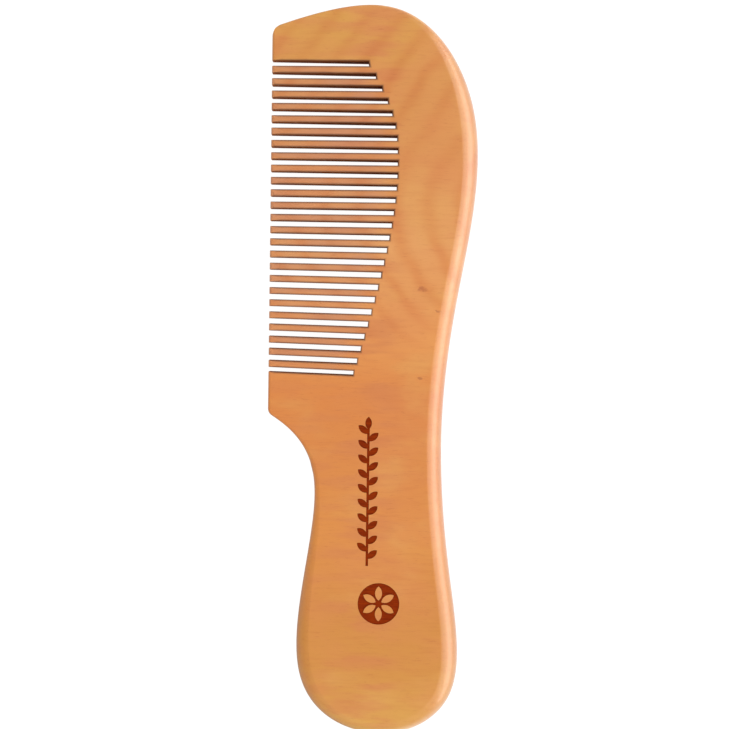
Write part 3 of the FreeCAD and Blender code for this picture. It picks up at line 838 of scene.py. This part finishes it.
def make_wood():
    """Oiled fruit wood: mottled warm orange with soft rings, fibres and pores along the teeth."""
    graph = Graph("oiled_wood")
    position = graph.plan_position()
    along = graph.axes(position)[1]
    share = graph.math("MULTIPLY_ADD", along, 1 / RAMP_LENGTH, 0.5)
    stops = [(y / RAMP_LENGTH + 0.5, linear(*tone)) for y, tone in TONES_ALONG_BOARD]
    color = graph.ramp(share, stops)

    mottle = graph.band(graph.noise(position, (0.05, 0.07, 0.07), 3.0), 0.42, 0.68)
    color = graph.mix(graph.math("MULTIPLY", mottle, 0.4), color, linear(226, 139, 74))
    elsewhere = graph.vector("ADD", position, (130.0, 0.0, 0.0))
    pale = graph.band(graph.noise(elsewhere, (0.06, 0.09, 0.09), 3.0), 0.5, 0.75)
    color = graph.mix(graph.math("MULTIPLY", pale, 0.45), color, linear(231, 167, 86))

    streaks = graph.band(graph.noise(position, (0.06, 0.36, 0.36), 2.0), 0.42, 0.66)
    rootward = graph.band(graph.axes(position)[0], -14.0, -3.0, 0.3, 0.6)
    toothed = graph.math("MULTIPLY", rootward, graph.band(graph.axes(position)[0], 2.0, 10.0, 1.0, 0.15))
    color = graph.mix(graph.math("MULTIPLY", streaks, toothed), color, linear(216, 127, 66))

    color = graph.mix(add_handling(graph, position), color, linear(206, 136, 97))

    rings = add_rings(graph, position)
    color = graph.mix(rings, color, linear(248, 232, 211), "MULTIPLY")

    wavy = graph.noise(position, (0.09, 0.25, 0.25), 1.0, output=1)
    wavy = graph.vector("MULTIPLY", graph.vector("SUBTRACT", wavy, (0.5,) * 3), (0.0, 1.6, 1.6))
    fibre_place = graph.vector("ADD", position, wavy)
    fibres = graph.noise(fibre_place, (0.11, 1.5, 1.5), 4.0, 0.62)
    color = graph.mix(graph.band(fibres, 0.45, 0.75), color, linear(250, 243, 232), "MULTIPLY")
    pores = graph.band(graph.noise(fibre_place, (0.45, 4.2, 4.2), 2.0, 0.5), 0.6, 0.72)
    color = graph.mix(graph.math("MULTIPLY", pores, 0.5), color, linear(238, 216, 190), "MULTIPLY")

    color = graph.mix(graph.math("MULTIPLY", add_knots(graph, position), 0.6), color, linear(172, 80, 32))
    # The gaps' walls and edges darkened towards dark brown: partly saw burn, partly painted shade inside
    # the narrow gaps.
    saw_burn_and_shade = graph.node("ShaderNodeAttribute", {}, "Fac", attribute_name="saw_burn_and_shade")
    patchy = graph.band(graph.noise(position, (0.12, 0.4, 0.4)), 0.3, 0.7, 0.8, 1.0)
    color = graph.mix(graph.math("MULTIPLY", saw_burn_and_shade, patchy), color, linear(84, 40, 14))
    graph.feed(graph.shader.inputs["Base Color"], color)

    relief = graph.math("MULTIPLY_ADD", pores, -0.8, fibres)
    bump = {"Strength": 0.35, "Distance": 0.06 * MM, "Height": relief}
    graph.feed(graph.shader.inputs["Normal"], graph.node("ShaderNodeBump", bump))
    graph.feed(graph.shader.inputs["Roughness"], graph.band(fibres, 0.3, 0.75, 0.36, 0.5))
    graph.shader.inputs["Specular IOR Level"].default_value = 0.5
    graph.shader.inputs["Coat Weight"].default_value = 1.0
    graph.shader.inputs["Coat IOR"].default_value = 1.7
    graph.shader.inputs["Coat Roughness"].default_value = 0.28
    return graph.material


def make_burnt_wood():
    """Wood scorched brown by the burning of the ornament, with the fibres still showing."""
    graph = Graph("burnt_wood")
    position = graph.plan_position()
    fibres = graph.noise(position, (0.3, 2.4, 2.4), 4.0, 0.6)
    stops = [(0.35, linear(122, 34, 0)), (0.65, linear(150, 50, 2))]
    graph.feed(graph.shader.inputs["Base Color"], graph.ramp(fibres, stops))
    bump = {"Strength": 0.5, "Distance": 0.08 * MM, "Height": fibres}
    graph.feed(graph.shader.inputs["Normal"], graph.node("ShaderNodeBump", bump))
    graph.feed(graph.shader.inputs["Roughness"], graph.band(fibres, 0.3, 0.7, 0.6, 0.78))
    graph.shader.inputs["Specular IOR Level"].default_value = 0.08
    return graph.material


def make_sawn_wall_burn_and_shade():
    """The walls of the gaps, scorched by the saw and left dull, and darkened further as painted shade
    inside the narrow gaps.
    """
    graph = Graph("sawn_wall_burn_and_shade")
    position = graph.plan_position()
    marks = graph.noise(position, (0.5, 1.0, 2.2), 3.0, 0.6)
    # Brown tones darker than the face: saw burn and painted shade together.
    stops = [(0.35, linear(148, 83, 38)), (0.7, linear(182, 111, 57))]
    graph.feed(graph.shader.inputs["Base Color"], graph.ramp(marks, stops))
    bump = {"Strength": 0.4, "Distance": 0.08 * MM, "Height": marks}
    graph.feed(graph.shader.inputs["Normal"], graph.node("ShaderNodeBump", bump))
    graph.feed(graph.shader.inputs["Roughness"], graph.band(marks, 0.3, 0.7, 0.8, 0.95))
    graph.shader.inputs["Specular IOR Level"].default_value = 0.1
    return graph.material


wood = make_wood()
sawn_wall_burn_and_shade = make_sawn_wall_burn_and_shade()
burnt_wood = make_burnt_wood()
burnt, plain = ornament_shapes()
make_piece("body_wood", build_shell(body_loop(), burnt, plain), "comb_body", [wood, sawn_wall_burn_and_shade, burnt_wood])
make_piece("front_guard_wood", build_shell(front_guard_loop()), "front_guard", [wood, sawn_wall_burn_and_shade])
make_piece("heel_guard_wood", build_shell(heel_guard_loop()), "heel_guard", [wood, sawn_wall_burn_and_shade])
for number in range(1, TOOTH_COUNT + 1):
    shell = build_shell(tooth_loop(number))
    root = gap_end(number)[0][0]
    make_piece(f"tooth_wood_{number:02d}", shell, f"tooth_{number:02d}", [wood, sawn_wall_burn_and_shade], root)


# Sizes and heights of the stage are in metres.
FLOOR_SIDE = 3.0
FLOOR_BELOW = 0.0002
CARD_LEFT = 0.002
CARD_RIGHT = 0.6
CARD_BELOW = 0.0001


def make_white_material():
    """A dull white that glows just enough to stay almost pure white under any shadow."""
    material = bpy.data.materials.new("white_floor")
    material.use_nodes = True
    shader = material.node_tree.nodes["Principled BSDF"]
    shader.inputs["Base Color"].default_value = (0.12, 0.12, 0.12, 1)
    shader.inputs["Roughness"].default_value = 0.9
    shader.inputs["Emission Color"].default_value = (1, 1, 1, 1)
    shader.inputs["Emission Strength"].default_value = 0.97
    return material


def make_ground(name, left, right, below, material):
    """A level sheet under the board, from left to right along x and as far to either side along y."""
    mesh = bpy.data.meshes.new(name)
    corners = [(left, -right, 0), (right, -right, 0), (right, right, 0), (left, right, 0)]
    mesh.from_pydata(corners, [], [(0, 1, 2, 3)])
    mesh.materials.append(material)
    ground = bpy.data.objects.new(name, mesh)
    bpy.context.scene.collection.objects.link(ground)
    ground.location.z = (SHIFT[2] - THICKNESS / 2) * MM - below
    return ground


def make_floor():
    """The pale floor, and a card on it that the wood mirrors only on the spine's side."""
    white = make_white_material()
    floor = make_ground("floor", -FLOOR_SIDE, FLOOR_SIDE, FLOOR_BELOW, white)
    floor.visible_glossy = False
    card = make_ground("card", CARD_LEFT, CARD_RIGHT, CARD_BELOW, white)
    card.visible_camera = False
    card.visible_diffuse = False
    card.visible_shadow = False


# The camera hangs over CAMERA_ABOVE and looks down at LOOK_AT, in millimetres of the plan; the roll
# is in degrees.
CAMERA_ABOVE = (-1.44, 17.67)
LOOK_AT = (-1.21, 1.26)
VIEW_WIDTH = 180.81
CAMERA_HEIGHT = 520.0
ROLL = 0.773


def place(x, y, z):
    """A point of the part's plan at a height above the board's middle, in the frame, in metres."""
    return Vector((np.array([x, y, z]) + SHIFT) * MM)


def make_camera():
    data = bpy.data.cameras.new("camera")
    camera = bpy.data.objects.new("camera", data)
    bpy.context.scene.collection.objects.link(camera)
    eye = place(*CAMERA_ABOVE, CAMERA_HEIGHT)
    target = place(*LOOK_AT, 0)
    roll = math.radians(ROLL)
    back = (eye - target).normalized()
    up = Vector((-math.sin(roll), math.cos(roll), 0))
    right = up.cross(back).normalized()
    up = back.cross(right)
    camera.matrix_world = Matrix.Translation(eye) @ Matrix((right, up, back)).transposed().to_4x4()
    data.sensor_width = 36
    data.lens = data.sensor_width * (eye - target).length / (VIEW_WIDTH * MM)
    data.clip_start = 0.01
    data.clip_end = 20
    bpy.context.scene.camera = camera


def area_light(name, position, size, power):
    """A white rectangular light that faces the origin, in metres and watts."""
    data = bpy.data.lights.new(name, "AREA")
    data.shape = "RECTANGLE"
    data.size, data.size_y = size
    data.energy = power
    light = bpy.data.objects.new(name, data)
    bpy.context.scene.collection.objects.link(light)
    light.location = position
    light.rotation_euler = (-Vector(position)).to_track_quat("-Z", "Y").to_euler()
    return light


def make_lights():
    """A soft dome, a weak key, two wide washes without highlights and one light that is all highlight."""
    world = bpy.data.worlds.new("studio")
    world.use_nodes = True
    background = world.node_tree.nodes["Background"]
    background.inputs["Color"].default_value = (1, 1, 1, 1)
    background.inputs["Strength"].default_value = 0.31
    bpy.context.scene.world = world
    area_light("key", (0.9, 0.05, 0.75), (1.6, 0.6), 4.0)
    for name, side in (("top", 1), ("front", -1)):
        wash = area_light(name, (0.05, side * 0.95, 0.95), (2.0, 1.6), 11.6)
        wash.visible_glossy = False
    gloss = area_light("gloss", (1.3, 0.0, 0.35), (2.4, 0.7), 15.5)
    gloss.visible_diffuse = False
    bpy.context.scene.view_settings.view_transform = "Standard"


make_floor()
make_camera()
make_lights()
